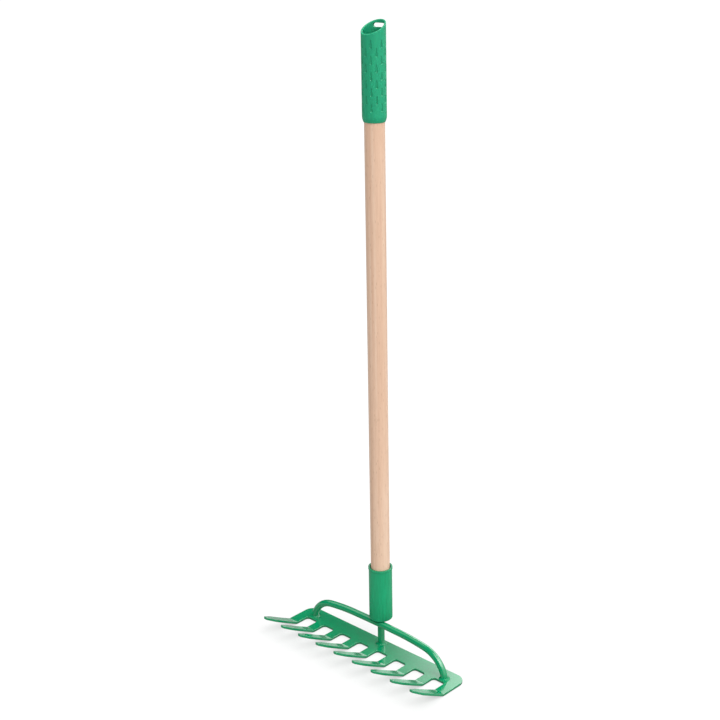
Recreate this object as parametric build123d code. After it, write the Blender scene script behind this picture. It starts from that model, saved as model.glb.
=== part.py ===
from build123d import *
import os
from math import atan2, cos, degrees, radians, sin, sqrt

# A small garden bow rake that stands upright on its flat steel head.
# Frame: origin on the underside of the head, on the axis of the pole; +Z runs up the pole,
# X runs along the head and the tines point towards -Y.  Millimetres.

# --- Tine plate: one steel stamping ---------------------------------------------------------
sheet_thickness = 2.9
tine_count = 9
tine_pitch = 29.2
finger_width = 12.2          # flat tongue between two slots, and the root of a tine
end_finger_extra = 1.6       # the two outer tongues are this much wider, outwards
plate_back = 8.8             # back edge behind the pole axis
plate_corner_radius = 13.0
slot_bottom = 13.8           # distance of the slots' closed ends in front of the pole axis
slot_corner_radius = 4.0
bend_start = 31.0            # where the sheet leaves the flat, in front of the pole axis
bend_inner_radius = 4.5
bend_angle = 26.5            # sharp bend at the root of each tine
curl_angle = 3.0             # further slow curl towards the tip
tine_length = 50.5           # length of the curled stretch
tine_point_length = 13.0     # last stretch, in plan, that narrows to the tip
tine_shoulder_width = 11.6   # width where that stretch begins
tine_shoulder_radius = 12.0
tip_width = 5.2
tip_corner_radius = 2.2
sheet_edge_break = 0.5       # rounded edges left by tumbling and paint

# --- Bow and stem: round steel rod ----------------------------------------------------------
rod_diameter = 8.2
bow_end_inset = 19.0         # the bow's widest point lies this far inside the plate's ends
bow_crown_height = 35.2      # centre line of the crown above the ground
bow_crown_radius = 2000.0    # nearly straight middle of the bow
bow_crown_turn = 1.0         # degrees from the middle to the end of that stretch
bow_haunch_turn = 8.5        # slope, in degrees, where the haunches meet the shoulders
bow_shoulder_radius = 35.8
bow_weld_sink = 0.6          # how deep the bow and the stem are fused into each other
weld_leg = 2.6               # size of the weld beads round the rods' feet
weld_hollow = 0.42           # share of the leg left at the middle of a bead's hollow face
crossing_weld_reach = 1.6    # how far the weld at the crossing stands beyond the rod's radius
crossing_weld_depth = 5.2    # thickness of that weld, along Y
crossing_weld_drop = 0.2     # its top lies this far below the top of the bow
stem_reach = 58.0            # how far the stem enters the socket and the pole
stem_point = 1.5
stem_clearance = 0.1         # radial, round the stem

# --- Pole -----------------------------------------------------------------------------------
pole_diameter = 22.0
pole_length = 654.4
pole_chamfer = 1.0

# --- Socket: moulded plastic ferrule --------------------------------------------------------
socket_gap = 0.1             # between the bow and the underside of the socket
pole_clearance = 0.4         # radial, between the pole and the socket's bore
socket_wall = 2.3
socket_length = 66.9
socket_floor = 8.0
socket_edge_radius = 1.3
socket_collar_height = 2.6
socket_collar_step = 0.5
socket_collar_round = 0.25
socket_mouth_chamfer = 0.8
socket_rib_count = 48
socket_rib_height = 36.0     # grooves between the ribs fade out at this height
socket_groove_radius = 0.7
socket_groove_depth = 0.4

# --- Grip: moulded plastic cap --------------------------------------------------------------
grip_clearance = 0.1         # radial, round the pole
grip_sleeve_wall = 2.0       # wall of the sleeve over the pole
grip_end_wall = 1.9          # wall of the hollow end above the pole
grip_web = 3.0               # closed floor of the hollow, above the pole's end
grip_cover = 75.9            # length of pole inside the grip
grip_rim_rise = 21.0         # the slanted rim crosses the axis this far above the pole's end
grip_rim_slope = 27.8        # degrees; the rim rises towards the back
grip_rim_round = 0.6
grip_bottom_wall = 0.5       # left of the wall at the tapered lower edge
grip_taper_height = 6.6
hang_slot_width = 16.6
hang_slot_height = 4.4
hang_slot_rise = 0.4         # centre of the slot above the rim's crossing with the axis
dimple_columns = 14
dimple_rows = 5
dimple_pitch = 16.1
dimple_first = 12.7          # deepest point of the lowest dimples, above the grip's lower edge
dimple_turn = 42.8           # degrees from +X to the first column
dimple_radius = 1.7
dimple_depth = 0.8
dimple_tail = 7.5
dimple_tail_radius = 0.5

# --- Screw that keeps the pole in the socket ------------------------------------------------
screw_rise = 32.5            # above the underside of the socket
screw_shank_diameter = 3.5
screw_stem_gap = 0.6         # between the screw's end and the bore for the stem
screw_head_diameter = 7.0
screw_head_height = 2.2
screw_recess_width = 1.0
screw_recess_length = 4.0
screw_recess_depth = 1.2
screw_clearance = 0.1        # radial, round the shank

# --- Worked out from the sizes above --------------------------------------------------------
rod_radius = rod_diameter / 2
pole_radius = pole_diameter / 2
plate_half_length = (tine_count - 1) / 2 * tine_pitch + finger_width / 2 + end_finger_extra
bow_half_width = plate_half_length - bow_end_inset
bow_plane = -(rod_diameter - bow_weld_sink)
bow_top = bow_crown_height + rod_radius
socket_bottom = bow_top + socket_gap
socket_top = socket_bottom + socket_length
socket_bore_radius = pole_radius + pole_clearance
socket_radius = socket_bore_radius + socket_wall
stem_top = socket_bottom + stem_reach
stem_bore_radius = rod_radius + stem_clearance
pole_bottom = socket_bottom + socket_floor
pole_top = pole_bottom + pole_length
grip_bore_radius = pole_radius + grip_clearance
grip_radius = grip_bore_radius + grip_sleeve_wall
grip_bottom = pole_top - grip_cover
grip_rim_height = pole_top + grip_rim_rise
hollow_floor = pole_top + grip_web
screw_length = socket_radius - stem_bore_radius - screw_stem_gap
beyond = 4 * plate_half_length       # safely outside the head; for cutting shapes only

STANDING = (Align.CENTER, Align.CENTER, Align.MIN)
HANGING = (Align.CENTER, Align.CENTER, Align.MAX)


def tine_centre(index):
    return (index - (tine_count - 1) / 2) * tine_pitch


def in_side_view(centre, radius, angle):
    """A point in the YZ plane; the angle is measured from straight down towards -Y."""
    y = centre[0] - radius * sin(radians(angle))
    z = centre[1] - radius * cos(radians(angle))
    return (0, y, z)


def tine_side_profile():
    """The bent and curled sheet, seen from its edge and drawn too long, with the Y of the tip."""
    tip_angle = bend_angle + curl_angle
    drawn_angle = tip_angle + curl_angle / 4
    bend_outer = bend_inner_radius + sheet_thickness
    curl_inner = tine_length / radians(curl_angle)
    curl_outer = curl_inner + sheet_thickness
    bend = (-bend_start, bend_outer)
    # The curl's centre lies on the line through the end of the bend and the bend's centre.
    curl = in_side_view(bend, bend_outer - curl_outer, bend_angle)[1:]

    def arc(centre, radius, start, end):
        angles = (start, (start + end) / 2, end)
        return ThreePointArc(*[in_side_view(centre, radius, angle) for angle in angles])

    edges = [
        arc(bend, bend_outer, 0, bend_angle),
        arc(curl, curl_outer, bend_angle, drawn_angle),
        Line(in_side_view(curl, curl_outer, drawn_angle), in_side_view(curl, curl_inner, drawn_angle)),
        arc(curl, curl_inner, drawn_angle, bend_angle),
        arc(bend, bend_inner_radius, bend_angle, 0),
        Line(in_side_view(bend, bend_inner_radius, 0), in_side_view(bend, bend_outer, 0)),
    ]
    return make_face(edges), in_side_view(curl, curl_outer, tip_angle)[1]


def tine(index):
    """One tine: the side profile, cut to a plan that narrows to a blunt tip."""
    profile, tip_y = tine_side_profile()
    centre = tine_centre(index)
    left = centre - finger_width / 2
    right = centre + finger_width / 2
    left_shoulder = centre - tine_shoulder_width / 2
    right_shoulder = centre + tine_shoulder_width / 2
    if index == 0:
        left -= end_finger_extra
        left_shoulder -= end_finger_extra
    if index == tine_count - 1:
        right += end_finger_extra
        right_shoulder += end_finger_extra
    shoulder_y = tip_y + tine_point_length
    plan = Polygon(
        (left, -bend_start),
        (left_shoulder, shoulder_y),
        (centre - tip_width / 2, tip_y),
        (centre + tip_width / 2, tip_y),
        (right_shoulder, shoulder_y),
        (right, -bend_start),
        align=None,
    )
    corners = plan.vertices().sort_by(Axis.Y)
    plan = fillet(corners[2:4], tine_shoulder_radius)
    plan = fillet(plan.vertices().sort_by(Axis.Y)[:2], tip_corner_radius)
    bar = extrude(profile, amount=beyond, dir=(1, 0, 0), both=True)
    return bar & extrude(plan, amount=beyond)


def tine_plate():
    depth = plate_back + bend_start
    middle = (plate_back - bend_start) / 2
    outline = Pos(0, middle) * Rectangle(2 * plate_half_length, depth)
    outline = fillet(outline.vertices().sort_by(Axis.Y)[2:], plate_corner_radius)
    slot_width = tine_pitch - finger_width
    slot_depth = bend_start - slot_bottom
    for index in range(tine_count - 1):
        # Each slot is drawn past the front edge, so that only its closed end is rounded.
        slot = Rectangle(slot_width, 2 * slot_depth)
        slot = fillet(slot.vertices().sort_by(Axis.Y)[2:], slot_corner_radius)
        outline -= Pos(tine_centre(index + 0.5), -bend_start) * slot
    plate = extrude(outline, amount=sheet_thickness)
    for index in range(tine_count):
        plate += tine(index)
    return fillet(edges_to_break(plate), sheet_edge_break)


def edges_to_break(plate):
    """The outlines of the upper and lower face: no upright corners and no bend lines."""
    tiny = sheet_edge_break / 10
    bend_reach = (bend_inner_radius + sheet_thickness) * sin(radians(bend_angle))
    chosen = []
    for edge in plate.edges():
        size = edge.bounding_box().size
        upright = size.X < tiny and size.Y < tiny
        across_tine = size.Y < tiny and size.Z < tiny
        at_bend = -bend_start - bend_reach - tiny < edge.center().Y < -bend_start + tiny
        if not upright and not (across_tine and at_bend):
            chosen.append(edge)
    return chosen


def bow_arcs():
    """Five-centred arch: (x, z, radius) of the haunch's and the shoulder's centre on the +X side."""
    crown = radians(bow_crown_turn)
    haunch = radians(bow_haunch_turn)
    shoulder_x = bow_half_width - bow_shoulder_radius
    crown_end_x = bow_crown_radius * sin(crown)
    crown_end_z = bow_crown_height - bow_crown_radius * (1 - cos(crown))
    haunch_end_x = shoulder_x + bow_shoulder_radius * sin(haunch)
    haunch_radius = (haunch_end_x - crown_end_x) / (sin(haunch) - sin(crown))
    haunch_x = crown_end_x - haunch_radius * sin(crown)
    haunch_z = crown_end_z - haunch_radius * cos(crown)
    shoulder_z = haunch_z + (haunch_radius - bow_shoulder_radius) * cos(haunch)
    return (haunch_x, haunch_z, haunch_radius), (shoulder_x, shoulder_z, bow_shoulder_radius)


def bow_path():
    """Upright legs, round shoulders, haunches and a nearly straight crown, all tangent."""
    haunch, shoulder = bow_arcs()

    def arc(centre, start, end, side):
        """Angles in degrees from upright, leaning to the side given as -1 or +1."""
        points = []
        for angle in (start, (start + end) / 2, end):
            x = side * (centre[0] + centre[2] * sin(radians(angle)))
            points.append((x, bow_plane, centre[1] + centre[2] * cos(radians(angle))))
        return points

    def half(side):
        """The bow from the foot to the start of the crown."""
        rising = arc(shoulder, 90, bow_haunch_turn, side)
        flattening = arc(haunch, bow_haunch_turn, bow_crown_turn, side)
        springing = rising[0]
        foot = (springing[0], bow_plane, springing[2] - rod_diameter)
        return foot, rising, flattening

    left_foot, left_rise, left_haunch = half(-1)
    right_foot, right_rise, right_haunch = half(1)
    return Wire([
        Line(left_foot, left_rise[0]),
        ThreePointArc(*left_rise),
        ThreePointArc(*left_haunch),
        ThreePointArc(left_haunch[2], (0, bow_plane, bow_crown_height), right_haunch[2]),
        ThreePointArc(*reversed(right_haunch)),
        ThreePointArc(*reversed(right_rise)),
        Line(right_rise[0], right_foot),
    ])


def stem():
    body = Pos(0, 0, sheet_thickness) * Cylinder(rod_radius, stem_top - sheet_thickness, align=STANDING)
    return chamfer(body.edges().sort_by(Axis.Z)[-1], stem_point)


def bow(stem_rod):
    path = bow_path()
    swept = sweep(Plane(path @ 0, z_dir=path % 0) * Circle(rod_radius), path=path)
    below_plate_top = Pos(0, 0, sheet_thickness) * Box(beyond, beyond, beyond, align=HANGING)
    return swept - below_plate_top - stem_rod


def foot_x():
    """Where the bow's centre line meets the top of the plate."""
    shoulder_x, shoulder_z, radius = bow_arcs()[1]
    below = max(0, sheet_thickness - shoulder_z)
    return shoulder_x + sqrt(radius**2 - below**2)


def weld_bead(x, y, rod):
    """A hollow-faced fillet weld round a rod that stands on the plate."""
    hollow = (rod_radius + weld_leg * weld_hollow, 0, weld_leg * weld_hollow)
    outer = (rod_radius + weld_leg, 0, 0)
    upper = (rod_radius, 0, weld_leg)
    section = make_face([
        Line((0, 0, 0), outer),
        ThreePointArc(outer, hollow, upper),
        Line(upper, (0, 0, weld_leg)),
        Line((0, 0, weld_leg), (0, 0, 0)),
    ])
    return Pos(x, y, sheet_thickness) * revolve(section, Axis.Z) - rod


def crossing_weld(stem_rod, bow_rod):
    """The filler in the hollows between the bow and the stem behind it."""
    contact = Pos(0, -rod_radius + bow_weld_sink / 2, bow_crown_height)
    blob = contact * Sphere(rod_radius + crossing_weld_reach)
    blob &= contact * Box(beyond, crossing_weld_depth, beyond)
    blob &= Box(beyond, beyond, 2 * (bow_top - crossing_weld_drop))
    return blob - stem_rod - bow_rod


def socket():
    body = Pos(0, 0, socket_bottom) * Cylinder(socket_radius, socket_length, align=STANDING)
    body = fillet(body.edges().sort_by(Axis.Z)[0], socket_edge_radius)
    collar_radius = socket_radius + socket_collar_step
    collar = Pos(0, 0, socket_top) * Cylinder(collar_radius, socket_collar_height, align=HANGING)
    collar = fillet(collar.edges().filter_by(GeomType.CIRCLE), socket_collar_round)
    body += collar
    body -= socket_groove_cutters()
    bore = Pos(0, 0, pole_bottom) * Cylinder(socket_bore_radius, socket_length, align=STANDING)
    mouth_radius = socket_bore_radius + socket_mouth_chamfer
    mouth = Cone(socket_bore_radius, mouth_radius, socket_mouth_chamfer, align=HANGING)
    stem_hole = Cylinder(stem_bore_radius, 2 * pole_bottom)
    return body - bore - Pos(0, 0, socket_top) * mouth - stem_hole - screw_hole()


def socket_groove_cutters():
    """Round bars that lean outwards, so each cuts a shallow groove that fades out upwards."""
    lean = degrees(atan2(socket_groove_depth, socket_rib_height))
    axis_distance = socket_radius + socket_groove_radius - socket_groove_depth
    bar = Rot(0, lean, 0) * Cylinder(socket_groove_radius, 2 * socket_length)
    cutter = Pos(axis_distance, 0, socket_bottom) * bar
    # Half a pitch of turn keeps every groove clear of the seam of the round wall.
    return [Rot(0, 0, (index + 0.5) * 360 / socket_rib_count) * cutter for index in range(socket_rib_count)]


def screw_seat():
    """The screw lies along Y behind the socket, with its head outwards."""
    height = socket_bottom + screw_rise
    return Plane((0, socket_radius, height), x_dir=(1, 0, 0), z_dir=(0, 1, 0))


def screw_hole():
    return screw_seat() * Cylinder(screw_shank_diameter / 2 + screw_clearance, 2 * screw_length)


def socket_screw():
    shank = Cylinder(screw_shank_diameter / 2, screw_length, align=HANGING)
    head = Cylinder(screw_head_diameter / 2, screw_head_height, align=STANDING)
    head = fillet(head.edges().sort_by(Axis.Z)[-1], screw_head_height / 2)
    recess = Box(screw_recess_length, screw_recess_width, 2 * screw_recess_depth)
    recess = Pos(0, 0, screw_head_height) * recess
    return screw_seat() * (shank + head - recess - Rot(0, 0, 90) * recess)


def pole():
    body = Pos(0, 0, pole_bottom) * Cylinder(pole_radius, pole_length, align=STANDING)
    body = chamfer(body.edges().filter_by(GeomType.CIRCLE), pole_chamfer)
    bore = Cylinder(stem_bore_radius, 2 * (stem_top + stem_clearance))
    return body - bore - screw_hole()


def grip():
    body = grip_blank()
    body -= Cylinder(grip_bore_radius, pole_top, align=STANDING)
    hollow = Cylinder(grip_radius - grip_end_wall, beyond, align=STANDING)
    body -= Pos(0, 0, hollow_floor) * hollow
    rim_plane = Pos(0, 0, grip_rim_height) * Rot(grip_rim_slope, 0, 0)
    body -= rim_plane * Box(beyond, beyond, beyond, align=STANDING)
    body = fillet(body.edges().filter_by(GeomType.ELLIPSE), grip_rim_round)
    slot_centre = (0, 0, grip_rim_height + hang_slot_rise)
    slot_plane = Plane(slot_centre, x_dir=(1, 0, 0), z_dir=(0, 1, 0))
    body -= extrude(slot_plane * SlotOverall(hang_slot_width, hang_slot_height), amount=beyond)
    return body - dimple_cutters()


def grip_blank():
    """The solid outside shape: a round bar whose lower end curves in towards the pole."""
    lower_radius = grip_bore_radius + grip_bottom_wall
    drop = grip_radius - lower_radius
    arc_radius = (drop**2 + grip_taper_height**2) / (2 * drop)
    half_turn = atan2(grip_taper_height, arc_radius - drop) / 2
    taper_top = grip_bottom + grip_taper_height
    top = grip_rim_height + 2 * grip_radius
    middle = (grip_radius - arc_radius * (1 - cos(half_turn)), 0, taper_top - arc_radius * sin(half_turn))
    section = make_face([
        Line((0, 0, grip_bottom), (lower_radius, 0, grip_bottom)),
        ThreePointArc((lower_radius, 0, grip_bottom), middle, (grip_radius, 0, taper_top)),
        Line((grip_radius, 0, taper_top), (grip_radius, 0, top)),
        Line((grip_radius, 0, top), (0, 0, top)),
        Line((0, 0, top), (0, 0, grip_bottom)),
    ])
    return revolve(section, Axis.Z)


def dimple_cutters():
    """Rows of drop-shaped thumb marks, deepest at their lower end, set in a staggered pattern."""
    axis_distance = grip_radius + dimple_radius - dimple_depth
    ball = Sphere(dimple_radius)
    tail = Cone(dimple_radius, dimple_tail_radius, dimple_tail, align=STANDING)
    # The tail leans back so that its narrow end just leaves the surface.
    lean = degrees(atan2(dimple_radius - dimple_tail_radius - dimple_depth / 2, dimple_tail))
    drop = ball + Rot(0, -lean, 0) * tail
    cutters = []
    for column in range(dimple_columns):
        odd = column % 2
        for row in range(dimple_rows - odd):
            height = grip_bottom + dimple_first + (row + odd / 2) * dimple_pitch
            turn = dimple_turn + column * 360 / dimple_columns
            cutters.append(Rot(0, 0, turn) * Pos(axis_distance, 0, height) * drop)
    return cutters


def build_parts():
    stem_rod = stem()
    bow_rod = bow(stem_rod)
    return {
        "tine_plate": tine_plate(),
        "bow": bow_rod,
        "stem": stem_rod,
        "left_foot_weld": weld_bead(-foot_x(), bow_plane, bow_rod),
        "right_foot_weld": weld_bead(foot_x(), bow_plane, bow_rod),
        "stem_foot_weld": weld_bead(0, 0, stem_rod),
        "crossing_weld": crossing_weld(stem_rod, bow_rod),
        "socket": socket(),
        "socket_screw": socket_screw(),
        "pole": pole(),
        "grip": grip(),
    }


os.makedirs("parts", exist_ok=True)
for name, shape in build_parts().items():
    export_step(shape, f"parts/{name}.step")
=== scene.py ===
import bpy
from math import cos, radians, sin, tau
from mathutils import Matrix, Vector


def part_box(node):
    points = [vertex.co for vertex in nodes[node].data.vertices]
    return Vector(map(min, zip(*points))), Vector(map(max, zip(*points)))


# Looks of a small garden bow rake that stands on its flat steel head.
# Metres; +Z up, X along the head, tines towards -Y.
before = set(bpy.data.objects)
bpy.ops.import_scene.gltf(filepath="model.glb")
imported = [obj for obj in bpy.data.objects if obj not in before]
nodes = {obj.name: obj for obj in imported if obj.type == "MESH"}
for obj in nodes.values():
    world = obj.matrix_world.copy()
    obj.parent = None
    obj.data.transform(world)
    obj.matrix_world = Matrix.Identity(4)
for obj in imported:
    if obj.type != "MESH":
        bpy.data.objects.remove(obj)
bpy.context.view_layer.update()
scene = bpy.context.scene
MM = 0.001


def srgb(code):
    """Linear RGBA of an sRGB colour written as six hex digits."""
    channels = [int(code[i:i + 2], 16) / 255 for i in (0, 2, 4)]
    linear = [c / 12.92 if c <= 0.04045 else ((c + 0.055) / 1.055) ** 2.4 for c in channels]
    return (*linear, 1.0)


# ---------------------------------------------------------------- camera
VIEW_AZIMUTH = radians(43.794)     # to the right of the tines' direction
VIEW_ELEVATION = radians(19.763)
VIEW_ROLL = radians(-1.01)
VIEW_DISTANCE = 1.549
VIEW_SIDE_SHIFT = -0.0195
VIEW_HEIGHT = 0.3623
VIEW_LENS = 70.09                  # on a 36 mm wide sensor
VIEW_REACH = 200                   # farther than the edge of the floor


def add_camera():
    back = Vector((
        sin(VIEW_AZIMUTH) * cos(VIEW_ELEVATION),
        -cos(VIEW_AZIMUTH) * cos(VIEW_ELEVATION),
        sin(VIEW_ELEVATION),
    ))
    side = Vector((cos(VIEW_AZIMUTH), sin(VIEW_AZIMUTH), 0))
    up = back.cross(side)
    right = side * cos(VIEW_ROLL) + up * sin(VIEW_ROLL)
    top = up * cos(VIEW_ROLL) - side * sin(VIEW_ROLL)
    place = back * VIEW_DISTANCE + side * VIEW_SIDE_SHIFT + Vector((0, 0, VIEW_HEIGHT))
    turn = Matrix((right, top, back)).transposed()
    data = bpy.data.cameras.new("camera")
    data.lens = VIEW_LENS
    data.sensor_width = 36
    data.dof.use_dof = False
    data.clip_end = VIEW_REACH
    camera = bpy.data.objects.new("camera", data)
    camera.matrix_world = Matrix.Translation(place) @ turn.to_4x4()
    scene.collection.objects.link(camera)
    scene.camera = camera


# ---------------------------------------------------------------- node helpers
def new_material(name):
    material = bpy.data.materials.new(name)
    material.use_nodes = True
    tree = material.node_tree
    return material, tree, tree.nodes["Principled BSDF"]


def set_inputs(tree, node, inputs):
    """Gives each input, by name or number, a value or another node's output."""
    for key, value in inputs.items():
        if isinstance(value, bpy.types.NodeSocket):
            tree.links.new(value, node.inputs[key])
        else:
            node.inputs[key].default_value = value


def add_node(tree, kind, inputs=None, stops=(), **settings):
    """Adds a node with its settings, its inputs and, for a colour ramp, its stops."""
    node = tree.nodes.new(kind)
    for key, value in settings.items():
        setattr(node, key, value)
    set_inputs(tree, node, inputs or {})
    for index, (place, code) in enumerate(stops):
        elements = node.color_ramp.elements
        element = elements[index] if index < len(elements) else elements.new(place)
        element.position = place
        element.color = srgb(code)
    return node


def per_mm(x=1.0, y=1.0, z=1.0):
    """Scale that turns metres into millimetres, stretched along each axis."""
    return (x / MM, y / MM, z / MM)


# ---------------------------------------------------------------- materials
ENAMEL_DRIFT = 38          # mm, slow change of tone across the plate
ENAMEL_MOTTLE = 3.2        # mm, clouds in the sprayed coat
ENAMEL_PEEL = 1.3          # mm, orange peel
ENAMEL_PEEL_HEIGHT = 0.006
CORNER_SHADE_REACH = 5           # mm, how far the painted shade reaches out of a corner
BEAD_RIPPLES = 22          # weld ripples round one bead
BEAD_RIPPLE_HEIGHT = 0.05
BEAD_LUMP = 2.4            # mm
BEAD_LUMP_HEIGHT = 0.1


def enamel(name, bead_centre=None):
    """Green stoving enamel, sprayed on mild steel: glossy, with orange peel and painted shade darkening its
    corners.

    A bead_centre, in mm, makes it the enamel over a weld bead: less glossy, with faint ripples.
    """
    material, tree, shader = new_material(name)
    place = add_node(tree, "ShaderNodeTexCoord").outputs["Object"]
    point = add_node(tree, "ShaderNodeMapping", {"Vector": place, "Scale": per_mm()}).outputs[0]
    drift = add_node(tree, "ShaderNodeTexNoise", {
        "Vector": point, "Scale": 1 / ENAMEL_DRIFT, "Detail": 2,
    }).outputs["Fac"]
    mottle = add_node(tree, "ShaderNodeTexNoise", {
        "Vector": point, "Scale": 1 / ENAMEL_MOTTLE, "Detail": 4, "Roughness": 0.6,
    }).outputs["Fac"]
    body = add_node(
        tree, "ShaderNodeValToRGB", {"Fac": drift}, stops=[(0.3, "038B59"), (0.7, "069562")],
    ).outputs["Color"]
    clouded = add_node(tree, "ShaderNodeMapRange", {
        "Value": mottle, "From Min": 0.35, "From Max": 0.7, "To Min": 0.0, "To Max": 0.3,
    }).outputs[0]
    body = add_node(
        tree, "ShaderNodeMix", {0: clouded, 6: body, 7: srgb("027F4F")}, data_type="RGBA",
    ).outputs[2]
    # Painted shade: ambient occlusion darkens the enamel towards deep green in corners and where parts
    # meet.
    nearby = add_node(
        tree, "ShaderNodeAmbientOcclusion", {"Distance": CORNER_SHADE_REACH * MM}, samples=6,
    ).outputs["AO"]
    corner_shade = add_node(tree, "ShaderNodeMapRange", {
        "Value": nearby, "From Min": 0.3, "From Max": 0.95, "To Min": 0.85, "To Max": 0.0,
    }).outputs[0]
    body = add_node(
        tree, "ShaderNodeMix", {0: corner_shade, 6: body, 7: srgb("03432A")}, data_type="RGBA",
    ).outputs[2]
    rough = add_node(tree, "ShaderNodeMapRange", {
        "Value": mottle, "From Min": 0.3, "From Max": 0.7, "To Min": 0.13, "To Max": 0.19,
    }).outputs[0]
    peel = add_node(tree, "ShaderNodeTexNoise", {
        "Vector": point, "Scale": 1 / ENAMEL_PEEL, "Detail": 2,
    }).outputs["Fac"]
    surface = add_node(tree, "ShaderNodeBump", {
        "Height": peel, "Distance": ENAMEL_PEEL_HEIGHT * MM, "Strength": 1.0,
    }).outputs[0]
    if bead_centre is None:
        set_inputs(tree, shader, {"Coat Weight": 0.55, "Coat Roughness": 0.1})
    else:
        around = add_node(tree, "ShaderNodeMapping", {
            "Vector": place, "Location": [-c for c in bead_centre], "Scale": per_mm(),
        }).outputs[0]
        angle = add_node(
            tree, "ShaderNodeTexGradient", {"Vector": around}, gradient_type="RADIAL",
        ).outputs["Fac"]
        steps = add_node(
            tree, "ShaderNodeMath", {0: angle, 1: BEAD_RIPPLES * tau}, operation="MULTIPLY",
        ).outputs[0]
        waves = add_node(tree, "ShaderNodeMath", {0: steps}, operation="SINE").outputs[0]
        lumps = add_node(tree, "ShaderNodeTexNoise", {
            "Vector": point, "Scale": 1 / BEAD_LUMP, "Detail": 3,
        }).outputs["Fac"]
        for height, depth in ((waves, BEAD_RIPPLE_HEIGHT), (lumps, BEAD_LUMP_HEIGHT)):
            surface = add_node(tree, "ShaderNodeBump", {
                "Height": height, "Distance": depth * MM, "Strength": 1.0, "Normal": surface,
            }).outputs[0]
        set_inputs(tree, shader, {"Specular IOR Level": 0.2})
    set_inputs(tree, shader, {"Base Color": body, "Roughness": rough, "Normal": surface, "IOR": 1.5})
    return material


FLOW_STRETCH = 0.06        # flow lines are this much slower along the mould
PLASTIC_CLOUD = 22         # mm
HOLLOW_SHADE_REACH = 14          # mm, how far into a hollow the painted shade reaches
PLASTIC_GRAIN_HEIGHT = 0.02


def moulded(name, low, high, rough, flow, grain):
    """Moulded polypropylene: satin, slightly translucent, with faint flow lines along the mould and painted
    shade in its hollows.

    The width of the flow lines and the size of the grain are in mm.
    """
    material, tree, shader = new_material(name)
    place = add_node(tree, "ShaderNodeTexCoord").outputs["Object"]
    point = add_node(tree, "ShaderNodeMapping", {"Vector": place, "Scale": per_mm()}).outputs[0]
    drawn = add_node(tree, "ShaderNodeMapping", {
        "Vector": place, "Scale": per_mm(z=FLOW_STRETCH),
    }).outputs[0]
    lines = add_node(tree, "ShaderNodeTexNoise", {
        "Vector": drawn, "Scale": 1 / flow, "Detail": 3, "Roughness": 0.6,
    }).outputs["Fac"]
    clouds = add_node(tree, "ShaderNodeTexNoise", {
        "Vector": point, "Scale": 1 / PLASTIC_CLOUD, "Detail": 2,
    }).outputs["Fac"]
    body = add_node(
        tree, "ShaderNodeValToRGB", {"Fac": lines}, stops=[(0.32, low), (0.68, high)],
    ).outputs["Color"]
    clouded = add_node(tree, "ShaderNodeMapRange", {
        "Value": clouds, "From Min": 0.35, "From Max": 0.7, "To Min": 0.0, "To Max": 0.25,
    }).outputs[0]
    body = add_node(
        tree, "ShaderNodeMix", {0: clouded, 6: body, 7: srgb(low)}, data_type="RGBA",
    ).outputs[2]
    # Painted shade: ambient occlusion darkens the plastic towards deep green in hollows and where parts
    # meet.
    nearby = add_node(
        tree, "ShaderNodeAmbientOcclusion", {"Distance": HOLLOW_SHADE_REACH * MM}, samples=6,
    ).outputs["AO"]
    hollow_shade = add_node(tree, "ShaderNodeMapRange", {
        "Value": nearby, "From Min": 0.4, "From Max": 0.97, "To Min": 0.85, "To Max": 0.0,
    }).outputs[0]
    body = add_node(
        tree, "ShaderNodeMix", {0: hollow_shade, 6: body, 7: srgb("025638")}, data_type="RGBA",
    ).outputs[2]
    satin = add_node(tree, "ShaderNodeMapRange", {
        "Value": lines, "From Min": 0.3, "From Max": 0.7, "To Min": rough - 0.04, "To Max": rough + 0.05,
    }).outputs[0]
    speck = add_node(tree, "ShaderNodeTexNoise", {
        "Vector": point, "Scale": 1 / grain, "Detail": 2,
    }).outputs["Fac"]
    surface = add_node(tree, "ShaderNodeBump", {
        "Height": speck, "Distance": PLASTIC_GRAIN_HEIGHT * MM, "Strength": 1.0,
    }).outputs[0]
    set_inputs(tree, shader, {
        "Base Color": body,
        "Roughness": satin,
        "Normal": surface,
        "Subsurface Weight": 0.12,
        "Subsurface Radius": (0.5 * MM, 1.2 * MM, 0.8 * MM),
        "Subsurface Scale": 1.0,
        "IOR": 1.49,
    })
    return material


BEECH_BAND = 3.4           # mm, width of the growth bands
BEECH_FIBRE = 0.55         # mm, wider than real fibres so that the grain shows
BEECH_FLECK = 1.9          # mm, spacing of the ray flecks
BEECH_CLOUD = 26           # mm
BEECH_FIBRE_HEIGHT = 0.03
BEECH_FLECK_HEIGHT = 0.02


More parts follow.
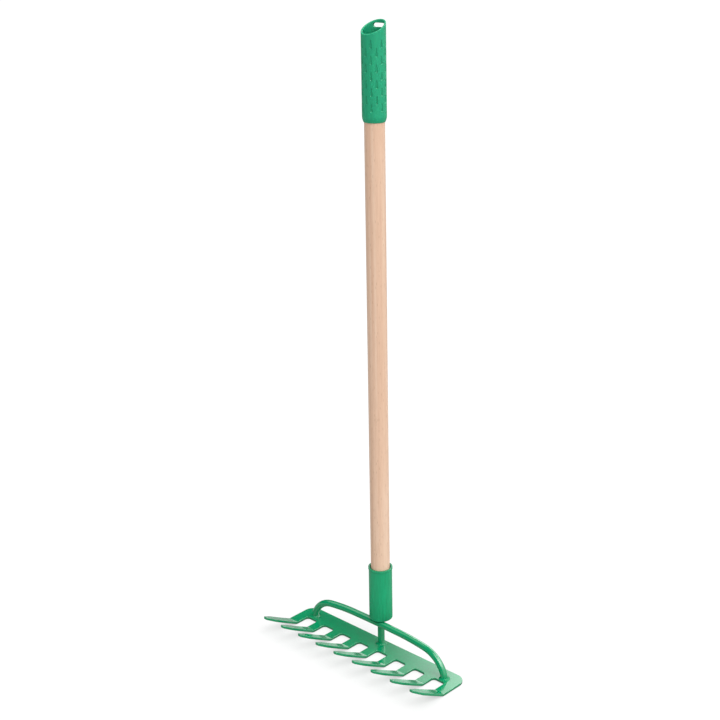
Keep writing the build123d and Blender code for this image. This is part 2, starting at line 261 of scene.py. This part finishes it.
def beech():
    """Steamed beech dowel, sanded and lightly lacquered: pinkish, straight grain, short dark ray flecks."""
    material, tree, shader = new_material("sanded_beech")
    place = add_node(tree, "ShaderNodeTexCoord").outputs["Object"]
    band_point, fibre_point, fleck_point, cloud_point = (
        add_node(tree, "ShaderNodeMapping", {"Vector": place, "Scale": stretch}).outputs[0]
        for stretch in (per_mm(y=0.55, z=0.012), per_mm(z=0.035), per_mm(z=0.16), per_mm(z=0.2))
    )
    bands = add_node(tree, "ShaderNodeTexNoise", {
        "Vector": band_point, "Scale": 1 / BEECH_BAND, "Detail": 3, "Roughness": 0.55,
    }).outputs["Fac"]
    fibre = add_node(tree, "ShaderNodeTexNoise", {
        "Vector": fibre_point, "Scale": 1 / BEECH_FIBRE, "Detail": 3, "Roughness": 0.65,
    }).outputs["Fac"]
    fleck = add_node(tree, "ShaderNodeTexVoronoi", {
        "Vector": fleck_point, "Scale": 1 / BEECH_FLECK,
    }).outputs["Distance"]
    clouds = add_node(tree, "ShaderNodeTexNoise", {
        "Vector": cloud_point, "Scale": 1 / BEECH_CLOUD, "Detail": 2,
    }).outputs["Fac"]
    body = add_node(
        tree, "ShaderNodeValToRGB", {"Fac": bands},
        stops=[(0.28, "D9B195"), (0.5, "E4C0A5"), (0.74, "ECCFB7")],
    ).outputs["Color"]
    # Each layer: what drives it, its range, the share at both ends of the range, and its colour.
    for driver, low, high, low_share, high_share, code in (
        (fibre, 0.42, 0.72, 0.0, 0.34, "BF9374"),
        (fleck, 0.1, 0.2, 0.5, 0.0, "A87C5D"),
        (clouds, 0.35, 0.75, 0.0, 0.3, "DBB396"),
    ):
        share = add_node(tree, "ShaderNodeMapRange", {
            "Value": driver, "From Min": low, "From Max": high, "To Min": low_share, "To Max": high_share,
        }).outputs[0]
        body = add_node(
            tree, "ShaderNodeMix", {0: share, 6: body, 7: srgb(code)}, data_type="RGBA",
        ).outputs[2]
    lacquer = add_node(tree, "ShaderNodeMapRange", {
        "Value": fibre, "From Min": 0.3, "From Max": 0.7, "To Min": 0.5, "To Max": 0.62,
    }).outputs[0]
    grain = add_node(tree, "ShaderNodeBump", {
        "Height": fibre, "Distance": BEECH_FIBRE_HEIGHT * MM, "Strength": 1.0,
    }).outputs[0]
    surface = add_node(tree, "ShaderNodeBump", {
        "Height": fleck, "Distance": BEECH_FLECK_HEIGHT * MM, "Strength": 1.0, "Normal": grain,
    }).outputs[0]
    set_inputs(tree, shader, {
        "Base Color": body,
        "Roughness": lacquer,
        "Normal": surface,
        "Coat Weight": 0.1,
        "Coat Roughness": 0.35,
    })
    return material


ZINC_FILM = 1.6            # mm
ZINC_MARK = 0.25           # mm
ZINC_MARK_HEIGHT = 0.01


def zinc():
    """Bright zinc plating on a steel screw, with fine marks and a cloudy passivated film."""
    material, tree, shader = new_material("zinc_plating")
    place = add_node(tree, "ShaderNodeTexCoord").outputs["Object"]
    point = add_node(tree, "ShaderNodeMapping", {"Vector": place, "Scale": per_mm()}).outputs[0]
    film = add_node(tree, "ShaderNodeTexNoise", {
        "Vector": point, "Scale": 1 / ZINC_FILM, "Detail": 3,
    }).outputs["Fac"]
    marks = add_node(tree, "ShaderNodeTexNoise", {
        "Vector": point, "Scale": 1 / ZINC_MARK, "Detail": 2,
    }).outputs["Fac"]
    body = add_node(
        tree, "ShaderNodeValToRGB", {"Fac": film}, stops=[(0.3, "A9ADB0"), (0.7, "C9CCCB")],
    ).outputs["Color"]
    rough = add_node(tree, "ShaderNodeMapRange", {
        "Value": film, "From Min": 0.3, "From Max": 0.7, "To Min": 0.24, "To Max": 0.4,
    }).outputs[0]
    surface = add_node(tree, "ShaderNodeBump", {
        "Height": marks, "Distance": ZINC_MARK_HEIGHT * MM, "Strength": 1.0,
    }).outputs[0]
    set_inputs(tree, shader, {"Base Color": body, "Roughness": rough, "Normal": surface, "Metallic": 1.0})
    return material


def dress(name, material):
    """Gives a CAD node a finished material in every slot."""
    for slot in nodes[name].material_slots:
        slot.material = material


def centre_in_mm(name):
    low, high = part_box(name)
    return tuple((low + high) / 2 / MM)


def dress_all():
    steel = enamel("green_enamel")
    for name in ("tine_plate", "bow", "stem"):
        dress(name, steel)
    for name in ("left_foot_weld", "right_foot_weld", "stem_foot_weld", "crossing_weld"):
        dress(name, enamel("enamel_over_" + name, centre_in_mm(name)))
    dress("socket", moulded("socket_polypropylene", "089463", "10A873", rough=0.34, flow=1.2, grain=0.3))
    dress("grip", moulded("grip_polypropylene", "069A70", "0EA674", rough=0.46, flow=1.6, grain=0.35))
    dress("pole", beech())
    dress("socket_screw", zinc())


# ---------------------------------------------------------------- floor and light
FLOOR_SIZE = 60
FLOOR_DROP = 0.2 * MM      # keeps the floor just clear of the plate
FLOOR_GLOW = 0.57          # lifts the paper to white where it is seen, and fades its shadows


def add_floor():
    bpy.ops.mesh.primitive_plane_add(size=FLOOR_SIZE, location=(0, 0, -FLOOR_DROP))
    floor = bpy.context.object
    floor.name = "floor"
    bpy.ops.object.transform_apply(location=True, rotation=True, scale=True)
    material, tree, shader = new_material("studio_floor")
    seen = add_node(tree, "ShaderNodeLightPath").outputs["Is Camera Ray"]
    glow = add_node(tree, "ShaderNodeMapRange", {
        "Value": seen, "From Min": 0, "From Max": 1, "To Min": 0.0, "To Max": FLOOR_GLOW,
    }).outputs[0]
    set_inputs(tree, shader, {
        "Base Color": srgb("A0A0A0"),
        "Roughness": 0.8,
        "Specular IOR Level": 0.0,
        "Emission Color": (1, 1, 1, 1),
        "Emission Strength": glow,
    })
    floor.data.materials.append(material)


def add_world():
    """White surroundings for matt light; polished faces see two softboxes and a dim room."""
    world = bpy.data.worlds.new("studio")
    scene.world = world
    world.use_nodes = True
    # Sampled light would reach polished faces as matt light, so only traced rays see the world.
    world.cycles.sampling_method = "NONE"
    tree = world.node_tree
    direction = add_node(tree, "ShaderNodeTexCoord").outputs["Generated"]

    def towards(axis, start, full, low, high):
        """A level that goes from low to high as the direction turns towards the axis."""
        turned = add_node(tree, "ShaderNodeVectorMath", {0: direction, 1: axis}, operation="DOT_PRODUCT")
        return add_node(tree, "ShaderNodeMapRange", {
            "Value": turned.outputs["Value"], "From Min": start, "From Max": full,
            "To Min": low, "To Max": high,
        }).outputs[0]

    matt = towards((0.6, -0.22, 0.77), -0.8, 0.8, 0.22, 1.22)
    rear_box = towards((0.731, 0.682, 0.0), 0.0, 0.09, 0.03, 5.5)
    # The rear box ends softly at its top and at its bottom.
    for start, full, low, high in ((0.7, 0.8, 1.0, 0.1), (0.3, 0.45, 0.27, 1.0)):
        edge = towards((0, 0, 1), start, full, low, high)
        rear_box = add_node(tree, "ShaderNodeMath", {0: rear_box, 1: edge}, operation="MULTIPLY").outputs[0]
    upper_box = towards((-0.6, -0.06, 0.8), 0.88, 0.99, 0.0, 2.0)
    polished = add_node(tree, "ShaderNodeMath", {0: rear_box, 1: upper_box}, operation="ADD").outputs[0]
    ray = add_node(tree, "ShaderNodeLightPath").outputs
    lit = add_node(
        tree, "ShaderNodeMix", {0: ray["Is Glossy Ray"], 2: matt, 3: polished}, data_type="FLOAT",
    ).outputs[0]
    level = add_node(
        tree, "ShaderNodeMix", {0: ray["Is Camera Ray"], 2: lit, 3: 1.0}, data_type="FLOAT",
    ).outputs[0]
    set_inputs(tree, tree.nodes["Background"], {"Strength": level, "Color": (1, 1, 1, 1)})


def add_sun(name, direction, energy, angle):
    """A far, wide and so very soft light that shines along direction."""
    data = bpy.data.lights.new(name, "SUN")
    data.energy = energy
    data.angle = radians(angle)
    lamp = bpy.data.objects.new(name, data)
    lamp.rotation_euler = Vector(direction).to_track_quat("-Z", "Y").to_euler()
    scene.collection.objects.link(lamp)


add_camera()
dress_all()
add_floor()
add_world()
add_sun("key", direction=(-0.75, 0.15, -1.05), energy=1.5, angle=40)
scene.view_settings.view_transform = "Standard"
